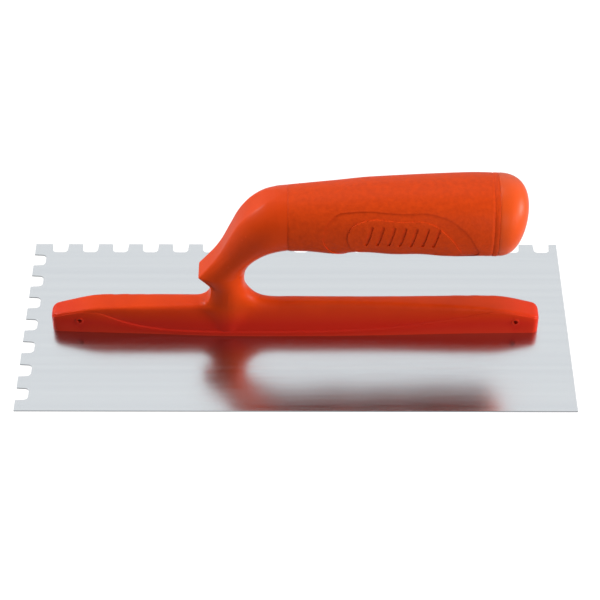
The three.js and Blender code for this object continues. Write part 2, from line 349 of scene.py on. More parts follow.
def setSky():
    world = bpy.data.worlds.new("studioSky")
    bpy.context.scene.world = world
    world.use_nodes = True
    nodes, links = world.node_tree.nodes, world.node_tree.links
    sky = nodes["Background"]
    sky.inputs["Color"].default_value = (1, 1, 1, 1)
    direction = nodes.new("ShaderNodeTexCoord")
    split = nodes.new("ShaderNodeSeparateXYZ")
    links.new(direction.outputs["Generated"], split.inputs[0])
    fade = nodes.new("ShaderNodeMapRange")
    fade.inputs["From Min"].default_value = studio["skyFade"][0]
    fade.inputs["From Max"].default_value = studio["skyFade"][1]
    fade.inputs["To Min"].default_value = studio["skyFront"]
    fade.inputs["To Max"].default_value = studio["skyBack"]
    links.new(split.outputs["Y"], fade.inputs["Value"])
    rise = nodes.new("ShaderNodeMapRange")
    rise.inputs["From Max"].default_value = studio["skyRise"]
    rise.inputs["To Min"].default_value = studio["skyAtHorizon"]
    links.new(split.outputs["Z"], rise.inputs["Value"])
    dome = nodes.new("ShaderNodeMath")
    dome.operation = "MULTIPLY"
    links.new(fade.outputs["Result"], dome.inputs[0])
    links.new(rise.outputs["Result"], dome.inputs[1])
    path = nodes.new("ShaderNodeLightPath")
    shade = nodes.new("ShaderNodeMath")  # the light that reaches matt surfaces
    shade.operation = "MULTIPLY"
    shade.inputs[1].default_value = studio["skyForShade"]
    links.new(dome.outputs[0], shade.inputs[0])
    mirror = nodes.new("ShaderNodeMath")
    mirror.operation = "MAXIMUM"
    links.new(path.outputs["Is Glossy Ray"], mirror.inputs[0])
    links.new(path.outputs["Is Transmission Ray"], mirror.inputs[1])
    seen = nodes.new("ShaderNodeMix")
    links.new(mirror.outputs[0], seen.inputs["Factor"])
    links.new(shade.outputs[0], seen.inputs["A"])
    links.new(dome.outputs[0], seen.inputs["B"])
    plain = nodes.new("ShaderNodeMix")
    links.new(path.outputs["Is Camera Ray"], plain.inputs["Factor"])
    links.new(seen.outputs["Result"], plain.inputs["A"])
    plain.inputs["B"].default_value = 1.0
    links.new(plain.outputs["Result"], sky.inputs["Strength"])


setLamps()
setSky()
bpy.context.scene.view_settings.view_transform = "Standard"


def whiteFloor():
    finish = bpy.data.materials.new("whitePaper")
    finish.use_nodes = True
    nodes, links = finish.node_tree.nodes, finish.node_tree.links
    paint = nodes["Principled BSDF"]
    grey = studio["floorGrey"]
    paint.inputs["Base Color"].default_value = (grey, grey, grey, 1)
    paint.inputs["Roughness"].default_value = 0.9
    paint.inputs["Emission Color"].default_value = (1, 1, 1, 1)
    path = nodes.new("ShaderNodeLightPath")
    mirror = nodes.new("ShaderNodeMath")
    mirror.operation = "MAXIMUM"
    links.new(path.outputs["Is Glossy Ray"], mirror.inputs[0])
    links.new(path.outputs["Is Transmission Ray"], mirror.inputs[1])
    lift = nodes.new("ShaderNodeMath")
    lift.operation = "MULTIPLY"
    lift.inputs[1].default_value = studio["floorLift"]
    links.new(path.outputs["Is Camera Ray"], lift.inputs[0])
    glow = nodes.new("ShaderNodeMath")
    glow.operation = "MULTIPLY_ADD"
    glow.inputs[1].default_value = studio["floorInMirrors"]
    links.new(mirror.outputs[0], glow.inputs[0])
    links.new(lift.outputs[0], glow.inputs[2])
    links.new(glow.outputs[0], paint.inputs["Emission Strength"])
    return finish


def layFloor():
    letGo()
    below = (0, 0, -studio["floorDrop"] * mm)  # just clear of the blade
    bpy.ops.mesh.primitive_plane_add(size=studio["floorSize"], location=below)
    floor = bpy.context.object
    floor.name = "floor"
    bpy.ops.object.transform_apply(location=True, rotation=True, scale=True)
    floor.data.materials.append(whiteFloor())


layFloor()
print("camera, light and floor set")


blade = {
    "notchDepth": 6.3,
    "notchRound": 2.2,
    "notchFlare": 0.25,
    "punchBelow": -2,
    "punchAbove": 3,
    "longEdge": {"notches": 17, "pitch": 16.15, "firstTooth": 9.2, "width": 8.2},
    "shortEdge": {"notches": 7, "pitch": 16.08, "firstTooth": 8.5, "width": 7.8},
    "edgeEase": 0.08,
    "rivetAt": [28 * (n - 3.5) for n in range(8)],
    "shank": 1.4,
    "foot": 2.1,
    "footRecess": 0.55,
    "rivetGap": 0.05,
    "rivetSides": 32,
    "smoothUnder": 12,
}


def notchCutters(name, row):
    # a row of punch noses along +X, mouths towards +Y, the first one starting at X 0
    depth, width, above = blade["notchDepth"], row["width"], blade["punchAbove"]
    cutter = block(name, (0, -depth, blade["punchBelow"]), (width, above, above))
    openUp(cutter, "EDGE")

    def standsInside(edge):
        a, b = (vert.co / mm for vert in edge.verts)
        return a.y < 0 and b.y < 0 and abs(a.z - b.z) > 1

    pickEdges(cutter, standsInside)
    bpy.ops.mesh.bevel(offset=blade["notchRound"] * mm, segments=9, affect="EDGES")
    bpy.ops.mesh.select_mode(type="VERT")
    pick(cutter, lambda at: at.y > 0)
    reach = (depth + above - blade["notchRound"]) / (depth - blade["notchRound"])
    resize(1 + 2 * blade["notchFlare"] * reach / width, 1, 1, (width / 2, above, 0))
    shape(cutter, "ARRAY", count=row["notches"], use_relative_offset=False,
          use_constant_offset=True, constant_offset_displace=(row["pitch"] * mm, 0, 0))
    return cutter


def makeBlade():
    low, high = bladeLow / mm, bladeHigh / mm
    sheet = block("blade_sheet", low, high)
    longRow = notchCutters("longRow", blade["longEdge"])
    longRow.location = (low.x * mm + blade["longEdge"]["firstTooth"] * mm, high.y * mm, 0)
    takeUp(longRow)
    bpy.ops.object.transform_apply(location=True, rotation=True, scale=True)
    shortRow = notchCutters("shortRow", blade["shortEdge"])
    shortRow.rotation_euler = (0, 0, quarter)  # mouths now face -X, the row runs towards +Y
    row = blade["shortEdge"]
    rowLength = row["pitch"] * (row["notches"] - 1) + row["width"]
    shortRow.location = (low.x * mm, (high.y - row["firstTooth"] - rowLength) * mm, 0)
    takeUp(shortRow)
    bpy.ops.object.transform_apply(location=True, rotation=True, scale=True)
    combine(sheet, longRow, "DIFFERENCE")
    combine(sheet, shortRow, "DIFFERENCE")
    openUp(sheet, "EDGE")

    def rim(edge):
        return len(edge.link_faces) == 2 and edge.calc_face_angle() > 1.2 and \
            abs(edge.verts[0].co.z - edge.verts[1].co.z) < 0.1 * mm

    pickEdges(sheet, rim)
    bpy.ops.mesh.bevel(offset=blade["edgeEase"] * mm, segments=2, affect="EDGES")
    letGo()
    gap, sides = blade["rivetGap"], blade["rivetSides"]
    for x in blade["rivetAt"]:
        shank = barAlongZ("shank", blade["shank"] + gap, -1, 2, (x, 0), sides)
        combine(sheet, shank, "DIFFERENCE")
        foot = barAlongZ("foot", blade["foot"] + gap, -1, blade["footRecess"], (x, 0), sides)
        combine(sheet, foot, "DIFFERENCE")
    settle(sheet, blade["smoothUnder"])
    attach(sheet, "root")
    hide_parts("blade")
    sheet.visible_diffuse = False  # keeps mirrored lamp spots off the plastic above it
    return sheet


sheet = makeBlade()
print("blade made")


spine = {
    "cornerRound": 3,
    "ledge": [(-104, 0.12), (-88, 0.55), (86, 0.55), (103, 0.2)],
    "topRound": [(-104, 1.3), (-88, 2.4), (86, 2.4), (103, 1.3)],
    "halfWidth": [(-125, 5), (-101, 6.1), (-70, 7.2), (-42, 8.4), (0, 8.6), (43, 7.9), (84, 6.6), (125, 5.9)],
    "height": [(-125, 11.1), (-111, 14.8), (-101, 16.8), (-55, 18.1), (10, 18.8), (64, 17.9), (104, 16),
               (125, 10.8)],
    "topHalfWidth": [(-125, 5), (-86, 5.5), (-55, 4.7), (0, 2.5), (43, 2.8), (84, 4.6), (125, 5.7)],
    "facetHeight": [(-101, 13.8), (-86, 6.8), (-70, 3.2), (-55, 2.4), (0, 2.7), (43, 4.5), (84, 10.8),
                    (100, 14.4)],
    "flankPower": [(-90, 1), (-30, 1.5), (60, 1.5), (95, 1)],
    "flankRows": 9,
    "station": 3.0,
    "hollowStation": 6,
    "wall": 1.5,
    "endWall": 6.5,
    "railRoomWidth": 4.1,
    "railRoomHeight": 10.35,
    "innerFacetHeight": 5.1,
    "crownWall": 0.55,
    "smoothUnder": 40,
}
spineLine = {name: through(spine[name]) for name in
             ("halfWidth", "height", "topHalfWidth", "facetHeight", "flankPower", "ledge", "topRound")}
handleLow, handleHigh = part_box("handle")
spineStart, spineEnd = (handleLow / mm).x, handleHigh.x / mm


def endInset(x):
    # how far a rounded corner pulls the outline in, near either end
    radius = spine["cornerRound"]
    depth = min(x - spineStart, spineEnd - x)
    if depth >= radius:
        return 0
    return radius - math.sqrt(max(radius ** 2 - (radius - depth) ** 2, 0))


def spineSection(x):
    inset = endInset(x)
    top = spineLine["height"](x) - 0.5 * inset
    facet = min(spineLine["facetHeight"](x), top - spineLine["topRound"](x))
    outer = spineLine["halfWidth"](x) - inset
    body = outer - spineLine["ledge"](x)
    topHalf = min(spineLine["topHalfWidth"](x) - inset, body - 0.4)
    return top, facet, outer, body, topHalf, spineLine["flankPower"](x)


def bodyRows(x):
    top, facet, outer, body, topHalf, power = spineSection(x)
    foot = facet + outer - body
    rows = []
    for n in range(spine["flankRows"] + 1):
        angle = quarter * (1 - n / spine["flankRows"])
        across = max(math.cos(angle), 0) ** power
        up = max(math.sin(angle), 0) ** power
        rows.append((topHalf + (body - topHalf) * across, bladeTop + foot + (top - foot) * up))
    rows.append((body, bladeTop + 0.4))
    return rows


def plinthRows(x):
    # the low ledge, with its slope and a small eased edge
    top, facet, outer, body, topHalf, power = spineSection(x)
    foot = facet + outer - body
    return [
        (body - 0.9, bladeTop + foot + 0.3),
        (body + 0.02, bladeTop + foot),
        (outer - 0.06, bladeTop + facet + 0.06),
        (outer, bladeTop + facet - 0.1),
        (outer, bladeTop + (facet - 0.1) * 0.5),
        (outer, bladeTop),
    ]


def hollowRows(x):
    half = spineLine["halfWidth"](x) - spine["wall"]
    shoulder = min(half, spine["railRoomWidth"])
    topHalf = min(shoulder, spineLine["topHalfWidth"](x) - spine["crownWall"])
    return [
        (topHalf, bladeTop + spineLine["height"](x) - spine["wall"]),
        (shoulder, bladeTop + spine["railRoomHeight"]),
        (half, bladeTop + min(spineLine["facetHeight"](x), spine["innerFacetHeight"])),
        (half, bladeTop - 1),
    ]


def spineStations():
    radius = spine["cornerRound"]
    ends = [radius * (1 - math.cos(quarter * n / 6)) for n in range(6)]
    ends[0] = 0.004
    middle = spread(spineStart + radius, spineEnd - radius, spine["station"])
    return [spineStart + d for d in ends] + middle + [spineEnd - d for d in reversed(ends)]


neck = {
    "corners": 56,
    "steps": 5,
    "noseAt": 8,
    "frontSpare": 0.4,
    "gripRingsAt": (-4.3, 1.0),
    "trimStart": 6,
    "trimEnd": [(-4.3, 92), (2, 93.4)],
    "trimWidth": 60,
    "trimReach": 40,
    # front point, rear point, half width, half width of the flat front; X and height
    "sections": [
        ((-46.5, 3), (-23, 3), 8.3, 4.6),
        ((-47.5, 12), (-22, 12), 8.2, 4.4),
        ((-49, 17.7), (-21.6, 17.7), 8.1, 4.2),
        ((-45.6, 19.6), (-22.6, 19.4), 8.2, 4.4),
        ((-43.8, 22.2), (-23.8, 21.8), 8.4, 4.6),
        ((-42.9, 26.3), (-25.1, 25.6), 8.6, 4.9),
        ((-42.9, 31.3), (-26, 31.2), 8.8, 5.2),
        ((-45.2, 34.8), (-26, 36), 9.1, 5.6),
        ((-48.8, 38.8), (-25.3, 40.2), 9.5, 5.8),
        ((-44.8, 44), (-23.7, 44.2), 9.9, 5.5),
        ((-40.4, 50), (-21.4, 48.2), 10.6, 5.2),
        ((-36.6, 56.6), (-18.6, 51.6), 11.5, 5.1),
        ((-32.8, 65), (-15.6, 54.1), 12.7, 5.3),
        ((-28.2, 74.6), (-12.4, 56), 14, 6),
        ((-22.7, 82), (-9.6, 57.1), 15, 6.4),
        ((-16.2, 87.5), (-7.3, 57.7), 15.5, 5.4),
        ((-9.7, 90.4), (-5.6, 57.9), 15.6, 3.4),
    ],
}

grip = {
    "centre": [(-4.3, 75), (20, 75.7), (37, 77), (98.3, 77.4)],
    "radius": [(-4.3, 16.2), (20, 18), (37, 18.7), (84, 20.6), (98.3, 20.4)],
    "heightRatio": 1.042,
    "widthRatio": 0.956,
    "waveLength": 27.5,
    "waveDepth": 0.5,
    "waveCrest": 20,
    "sleeveWall": 2,
    "coreRoot": 4,
    "shoulderGap": 0.05,
    "waveFrom": -3,
    "coreGap": 0.1,
    "coreCorners": 64,
    "coreStation": 4,
    "shoulderCut": ((-30, 50), (10, 30, 110)),
    "boreFrom": 14,
    "bore": 11,
    "boreOverrun": 5,
}
gripCentre = through(grip["centre"])
gripRadius = through(grip["radius"])
sleeveLow, sleeveHigh = (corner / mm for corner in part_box("grip_sleeve"))


def gripRing(piece, x, inset=0, corners=56):
    # one upright ring of the grip: rounder above, waved for the fingers below
    radius = gripRadius(x)
    height = grip["heightRatio"] * radius
    wave = grip["waveDepth"] * math.cos(2 * math.pi * (x - grip["waveCrest"]) / grip["waveLength"])
    below = height + (wave if x > grip["waveFrom"] else 0) - inset
    bpy.ops.mesh.primitive_circle_add(vertices=corners, radius=mm, rotation=(quarter, 0, quarter))
    resize(1, grip["widthRatio"] * radius - inset, height - inset)
    mesh = bmesh.from_edit_mesh(piece.data)
    mesh.verts.ensure_lookup_table()
    first = len(mesh.verts) - corners
    lower = [n for n in range(first, first + corners) if mesh.verts[n].co.z < 0]
    ring = list(range(first, first + corners))
    pickIndexed(piece, lower)
    resize(1, 1, below / (height - inset))
    pickIndexed(piece, ring)
    move(x, 0, bladeTop + gripCentre(x))


def neckRing(piece, front, rear, halfWidth, flat, corners):
    # an ellipse between two points, its front half longer so that the flat trims it
    alongX, alongZ = rear[0] - front[0], rear[1] - front[1]
    halfLength = math.hypot(alongX, alongZ) / 2
    longer = 1 / math.cos(math.asin(flat / halfWidth))
    bpy.ops.mesh.primitive_circle_add(vertices=corners, radius=mm)
    resize(halfLength, halfWidth, 1)
    mesh = bmesh.from_edit_mesh(piece.data)
    mesh.verts.ensure_lookup_table()
    first = len(mesh.verts) - corners
    ring = list(range(first, first + corners))
    frontHalf = [n for n in ring if mesh.verts[n].co.x < 0]
    pickIndexed(piece, frontHalf)
    resize(longer, 1, 1)
    pickIndexed(piece, ring)
    turn(-math.atan2(alongZ, alongX), "Y")
    move((front[0] + rear[0]) / 2, 0, bladeTop + (front[1] + rear[1]) / 2)


def spared(front, rear, spare):
    # the front point moved out a little, for what softening takes off
    reach = math.hypot(front[0] - rear[0], front[1] - rear[1])
    share = spare / reach
    return front[0] + (front[0] - rear[0]) * share, front[1] + (front[1] - rear[1]) * share


def between(sections, steps, spare):
    # smooth in-between sections
    flatList = [(*front, *rear, half, flat) for front, rear, half, flat in sections]
    lines = [through(list(enumerate(column))) for column in zip(*flatList)]
    count = (len(sections) - 1) * steps
    values = [[line(n / steps) for line in lines] for n in range(count + 1)]
    return [(spared(v[:2], v[2:4], spare), (v[2], v[3]), v[4], v[5]) for v in values]


def neckSections():
    nose = neck["noseAt"]
    lower = between(neck["sections"][:nose + 1], neck["steps"], neck["frontSpare"])
    upper = between(neck["sections"][nose:], neck["steps"], neck["frontSpare"])
    return lower + upper[1:]


def makeNeck():
    piece = newPiece("neck")
    for section in neckSections():
        neckRing(piece, *section, neck["corners"])
    for x in neck["gripRingsAt"]:
        gripRing(piece, x, 0.0, neck["corners"])
    closeSweep(piece)
    return piece


def frontTrim():
    # the space in front of the flat front and under the beak
    trim = newPiece("frontTrim")
    line = [section[0] for section in neckSections()]
    line = [(line[0][0], line[0][1] - neck["trimStart"])] + line + neck["trimEnd"]
    bpy.ops.mesh.primitive_plane_add(size=mm)
    pick(trim, lambda at: at.x > 0)
    bpy.ops.mesh.delete(type="VERT")
    bpy.ops.mesh.select_all(action="SELECT")
    resize(1, neck["trimWidth"], 1)
    move(0.5 + line[0][0], 0, bladeTop + line[0][1])
    for here, there in zip(line, line[1:]):
        bpy.ops.mesh.extrude_region_move(TRANSFORM_OT_translate={
            "value": ((there[0] - here[0]) * mm, 0, (there[1] - here[1]) * mm)})
    bpy.ops.mesh.select_all(action="SELECT")
    bpy.ops.mesh.extrude_region_move(TRANSFORM_OT_translate={"value": (-neck["trimReach"] * mm, 0, 0)})
    bpy.ops.mesh.select_all(action="SELECT")
    bpy.ops.mesh.normals_make_consistent(inside=False)
    letGo()
    return trim


flare = {
    # the neck's back runs out along the spine's crown: front point, rear point, half width
    "sections": [
        ((-38, 36), (-26.7, 36.5), 7.4),
        ((-38, 30.5), (-26.2, 31.4), 7.8),
        ((-37, 25), (-25.1, 27.6), 7.6),
        ((-35, 18.5), (-22.7, 23.9), 7.0),
        ((-31, 12.5), (-19.3, 21), 6.0),
        ((-25, 8), (-14.8, 19.8), 4.9),
        ((-17, 6.5), (-9.4, 19.1), 3.9),
        ((-9, 6), (-3, 18.4), 3.0),
    ],
    "steps": 4,
}


def makeFlare():
    piece = newPiece("flare")
    sections = [(*section, 0) for section in flare["sections"]]
    for section in between(sections, flare["steps"], 0):
        neckRing(piece, *section, neck["corners"])
    closeSweep(piece)
    return piece


skin = {
    "grainOfMesh": 0.45,
    "soften": 4,
    # X range, height range and passes
    "blendSoften": [((-40, -2), (6, 37), 16), ((-37, -5), (8, 34), 26), ((-34, -7), (10, 31), 40)],
    "crownHeights": (5, 20),
    "crownSoften": [((-130, 130), 18), ((-94, 100), 18), ((-86, 90), 20), ((-78, 80), 16)],
}


def makeHandle():
    body = rowSweep("handle_moulding", spineStations(), bodyRows)
    print("  spine body", len(body.data.vertices))
    column = makeNeck()
    combine(column, frontTrim(), "DIFFERENCE")
    print("  neck", len(column.data.vertices))
    combine(body, column, "UNION")
    combine(body, makeFlare(), "UNION")
    shape(body, "REMESH", mode="VOXEL", voxel_size=skin["grainOfMesh"] * mm)
    print("  skin", len(body.data.vertices))
    openUp(body)
    bpy.ops.mesh.select_all(action="SELECT")
    bpy.ops.mesh.vertices_smooth(factor=0.5, repeat=skin["soften"])
    crownPasses = [(reach, skin["crownHeights"], repeat) for reach, repeat in skin["crownSoften"]]
    for (start, end), (low, high), repeat in crownPasses + skin["blendSoften"]:
        pick(body, lambda at: start < at.x < end and low < at.z - bladeTop < high)
        bpy.ops.mesh.vertices_smooth(factor=0.5, repeat=repeat)
    plinth = rowSweep("plinth", spineStations(), plinthRows)
    combine(body, plinth, "UNION")
    return body


handle = makeHandle()
print("handle body made")


def makeCore(inset):
    core = newPiece("core")
    for x in spread(sleeveLow.x - grip["coreRoot"], sleeveHigh.x, grip["coreStation"]):
        gripRing(core, x, inset, grip["coreCorners"])
    closeSweep(core)
    return core


def boreHandle():
    # the neck stops in a flat shoulder just before the sleeve
    (nearY, fromHeight), (farX, farY, toHeight) = grip["shoulderCut"]
    beyond = block("beyond", (sleeveLow.x - grip["shoulderGap"], nearY, bladeTop + fromHeight),
                   (farX, farY, bladeTop + toHeight))
    combine(handle, beyond, "DIFFERENCE")
    combine(handle, makeCore(grip["sleeveWall"] + grip["coreGap"]), "UNION")
    bore = barAlong("bore", 0, grip["bore"], grip["boreFrom"], sleeveHigh.x + grip["boreOverrun"],
                    (0, bladeTop + gripCentre(sleeveHigh.x)))
    combine(handle, bore, "DIFFERENCE")
    stations = spread(spineStart + spine["endWall"], spineEnd - spine["endWall"], spine["hollowStation"])
    hollow = rowSweep("hollow", stations, hollowRows)
    combine(handle, hollow, "DIFFERENCE")


boreHandle()

pin = {
    "height": 8,
    "hole": 1.25,
    "rim": 2.15,
    "rimStands": 0.22,
    "rimEase": 0.2,
    "rimClear": 0.1,
    "innerRadius": 4,
    "holeReach": 12,
    "rodSides": 32,
    "rodEase": 0.2,
}
pinPlaces = [sum((corner.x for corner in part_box(node)), 0) / 2 / mm
             for node in ("cross_pin_front", "cross_pin_rear")]


def drillPins():
    for x in pinPlaces:
        outer = spineLine["halfWidth"](x) + pin["rimStands"]
        rim = barAlong("rim", 1, pin["rim"], -outer, outer, (x, bladeTop + pin["height"]), 40)
        openUp(rim, "EDGE")
        pickEdges(rim, lambda edge: abs(edge.verts[0].co.y - edge.verts[1].co.y) < 1e-6)
        bpy.ops.mesh.bevel(offset=pin["rimEase"] * mm, segments=3, affect="EDGES")
        letGo()
        clear = spine["railRoomWidth"] + pin["rimClear"]  # the rims stay out of the room for the rail
        inner = barAlong("inner", 1, pin["innerRadius"], -clear, clear, (x, bladeTop + pin["height"]), 24)
        combine(rim, inner, "DIFFERENCE")
        combine(handle, rim, "UNION")
        reach = pin["holeReach"]
        hole = barAlong("hole", 1, pin["hole"], -reach, reach, (x, bladeTop + pin["height"]), 40)
        combine(handle, hole, "DIFFERENCE")


drillPins()
settle(handle, spine["smoothUnder"])
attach(handle, "root")
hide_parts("handle")
print("handle made", len(handle.data.vertices))


sleeve = {
    "corners": 112,
    "station": 1.1,
    "endRound": 0.25,
    "ringBeforeEnd": 2.6,
    "ringHalfWidth": 0.45,
    "ringDepth": 0.22,
    "panelDepth": 0.44,
    "panelReach": (-30, -3),
    "islandReach": (-31, -2),
    "formerOverrun": 4,
    # X and height above the blade
    "panelOutside": [(14, 71), (13.4, 79), (17.5, 87), (28, 90), (49, 90.3), (70, 89.8), (80, 84.5),
                     (86.5, 75.5), (88.5, 64), (80, 60), (50, 59.5), (24, 60)],
    "panelInside": [(25.5, 74), (26, 81.5), (32, 86), (50, 86.7), (65.5, 86), (72.5, 81), (78, 73),
                    (80, 65), (74, 62.6), (50, 62), (33, 62.8)],
    "ribs": {"count": 7, "first": 34, "pitch": 5.4, "width": 1.7, "low": 72.5, "high": 84.3, "lean": 2.6,
             "depth": 0.5, "reach": (-30, -4), "roundShare": 0.48},
}


def sleeveInset(x, low, high):
    # rounded ends, and one fine ring line before the cap
    radius = sleeve["endRound"]
    depth = min(x - low, high - x)
    if depth < radius:
        return radius - math.sqrt(max(radius ** 2 - (radius - depth) ** 2, 0))
    fromRing = abs(x - (high - sleeve["ringBeforeEnd"])) / sleeve["ringHalfWidth"]
    if fromRing < 1:
        return sleeve["ringDepth"] * (1 - fromRing)
    return 0


def sleeveSolid(name, low, high, inset, rounded=True):
    radius = sleeve["endRound"]
    ends = [radius * (1 - math.cos(quarter * n / 4)) for n in range(4)] if rounded else [0]
    ringMiddle, ringHalf = high - sleeve["ringBeforeEnd"], sleeve["ringHalfWidth"]
    stations = [low + d for d in ends] + spread(low + radius, ringMiddle - ringHalf, sleeve["station"])
    stations += [ringMiddle, ringMiddle + ringHalf, high - radius]
    stations += [high - d for d in reversed(ends)]
    piece = newPiece(name)
    for x in stations:
        gripRing(piece, x, inset + (sleeveInset(x, low, high) if rounded else 0), sleeve["corners"])
    closeSweep(piece)
    return piece


def gripRib(x, ribs):
    # one slanted groove with round ends
    near, far = ribs["reach"]
    groove = block("groove", (x - ribs["width"] / 2, near, bladeTop + ribs["low"]),
                   (x + ribs["width"] / 2, far, bladeTop + ribs["high"]))
    openUp(groove, "EDGE")
    pickEdges(groove, lambda edge: abs(edge.verts[0].co.y - edge.verts[1].co.y) > mm)
    bpy.ops.mesh.bevel(offset=ribs["roundShare"] * ribs["width"] * mm, segments=5, affect="EDGES")
    bpy.ops.mesh.select_mode(type="VERT")
    pick(groove, lambda at: at.z > bladeTop + (ribs["low"] + ribs["high"]) / 2)
    move(ribs["lean"])
    letGo()
    return groove


def makeSleeve():
    low, high = sleeveLow.x, sleeveHigh.x
    tube = sleeveSolid("grip_skin", low, high, 0)
    before, after = low - sleeve["formerOverrun"], high + sleeve["formerOverrun"]
    panel = outlinePrism("panel", sleeve["panelOutside"], *sleeve["panelReach"])
    island = outlinePrism("island", sleeve["panelInside"], *sleeve["islandReach"])
    combine(panel, island, "DIFFERENCE")
    former = sleeveSolid("former", before, after, sleeve["panelDepth"], False)
    combine(panel, former, "DIFFERENCE")
    combine(tube, panel, "DIFFERENCE")
    ribs = sleeve["ribs"]
    ribFormer = sleeveSolid("ribFormer", before, after, ribs["depth"], False)
    for n in range(ribs["count"]):
        x = ribs["first"] + n * ribs["pitch"]
        groove = gripRib(x, ribs)
        combine(groove, copyOf(ribFormer, "ribFormerCopy"), "DIFFERENCE")
        combine(tube, groove, "DIFFERENCE")
    bpy.data.objects.remove(ribFormer)
    inside = sleeveSolid("inside", before, after, grip["sleeveWall"], False)
    combine(tube, inside, "DIFFERENCE")
    settle(tube)
    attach(tube, "root")
    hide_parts("grip_sleeve")
    return tube


tube = makeSleeve()
print("grip sleeve made", len(tube.data.vertices))


capEnd = (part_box("grip_end_cap")[1] / mm).x

cap = {
    "gap": 0.03,
    # distance from the sleeve and how much narrower: the eased lip
    "lip": [(0, 0.18), (0.1, 0.06), (0.3, 0)],
    "clearOfLip": 0.6,
    "riseOfTip": 5,
    "fullness": 2.5,
    "ringSpacing": 0.8,
    "rings": 26,
    "corners": 112,
    "plugGap": 0.3,
    "plugLength": 13,
    "plugWall": 2.2,
    "hollowShare": 0.5,
}


def capRing(piece, x, radius, centre, corners):
    bpy.ops.mesh.primitive_circle_add(vertices=corners, radius=mm, rotation=(quarter, 0, quarter))
    resize(1, grip["widthRatio"] * radius, grip["heightRatio"] * radius)
    move(x, 0, bladeTop + centre)


def makeCap():
    start = sleeveHigh.x + cap["gap"]
    length = capEnd - start
    fullRadius, middle = gripRadius(start), gripCentre(start)
    dome = newPiece("end_cap")
    for along, narrower in cap["lip"]:
        capRing(dome, start + along, fullRadius - narrower, middle, cap["corners"])
    for n in range(1, cap["rings"]):
        t = math.sin(quarter * n / cap["rings"]) ** cap["ringSpacing"]
        radius = fullRadius * (1 - t ** cap["fullness"]) ** 0.5
        if start + length * t > start + cap["clearOfLip"]:
            capRing(dome, start + length * t, radius, middle + cap["riseOfTip"] * t ** 3, cap["corners"])
    closeSweep(dome)
    axis = (0, bladeTop + middle)
    plugRadius, plugStart = grip["bore"] - cap["plugGap"], start - cap["plugLength"]
    combine(dome, barAlong("plug", 0, plugRadius, plugStart, start + 1, axis), "UNION")
    well = barAlong("well", 0, plugRadius - cap["plugWall"], plugStart - 1,
                    start + length * cap["hollowShare"], axis)
    combine(dome, well, "DIFFERENCE")
    settle(dome)
    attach(dome, "root")
    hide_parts("grip_end_cap")
    return dome


dome = makeCap()
print("end cap made", len(dome.data.vertices))


rivet = {
    "count": 8,
    "sides": 32,
    "footHeight": 0.5,
    "shankInset": 0.2,
    "headRadius": 2.0,
    "headHeight": 0.9,
    "headEase": 0.45,
}


def makeRivets():
    low, high = (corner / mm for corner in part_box("rivet_1"))
    x = (low.x + high.x) / 2
    sides, inset = rivet["sides"], rivet["shankInset"]
    first = barAlongZ("rivet_turned_1", blade["foot"], low.z, low.z + rivet["footHeight"], (x, 0), sides)
    shank = barAlongZ("shank", blade["shank"], low.z + inset, high.z - inset, (x, 0), sides)
    combine(first, shank, "UNION")
    crownFoot = high.z - rivet["headHeight"]
    crown = barAlongZ("crown", rivet["headRadius"], crownFoot, high.z, (x, 0), sides)
    openUp(crown, "EDGE")
    pickEdges(crown, lambda edge: min(v.co.z for v in edge.verts) > (high.z - 0.05) * mm)
    bpy.ops.mesh.bevel(offset=rivet["headEase"] * mm, segments=4, affect="EDGES")
    letGo()
    combine(first, crown, "UNION")
    settle(first)
    made = [first]
    for n in range(2, rivet["count"] + 1):
        nodeLow, nodeHigh = (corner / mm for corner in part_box("rivet_%d" % n))
        twin = copyOf(first, "rivet_turned_%d" % n)
        openUp(twin)
        bpy.ops.mesh.select_all(action="SELECT")
        move((nodeLow.x + nodeHigh.x) / 2 - x)
        letGo()
        made.append(twin)
    for n, piece in enumerate(made, 1):
        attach(piece, "root")
        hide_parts("rivet_%d" % n)
    return made


rivets = makeRivets()


def makePins():
    made = []
    for node in ("cross_pin_front", "cross_pin_rear"):
        low, high = (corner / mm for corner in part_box(node))
        centre = ((low.x + high.x) / 2, (low.z + high.z) / 2)
        rod = barAlong(node + "_rod", 1, (high.x - low.x) / 2, low.y, high.y, centre, pin["rodSides"])
        openUp(rod, "EDGE")
        pickEdges(rod, lambda edge: abs(edge.verts[0].co.y - edge.verts[1].co.y) < 1e-6)
        bpy.ops.mesh.bevel(offset=pin["rodEase"] * mm, segments=2, affect="EDGES")
        letGo()
        settle(rod)
        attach(rod, "root")
        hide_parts(node)
        made.append(rod)
    return made


pins = makePins()
print("rivets and pins made")


def newGroup(name, takes, gives):
    group = bpy.data.node_groups.new(name, "ShaderNodeTree")
    for label, value in takes:
        socket = group.interface.new_socket(name=label, in_out="INPUT", socket_type="NodeSocketFloat")
        socket.default_value = value
    for label, kind in gives:
        group.interface.new_socket(name=label, in_out="OUTPUT", socket_type=kind)
    start = group.nodes.new("NodeGroupInput")
    end = group.nodes.new("NodeGroupOutput")
    return group, start, end


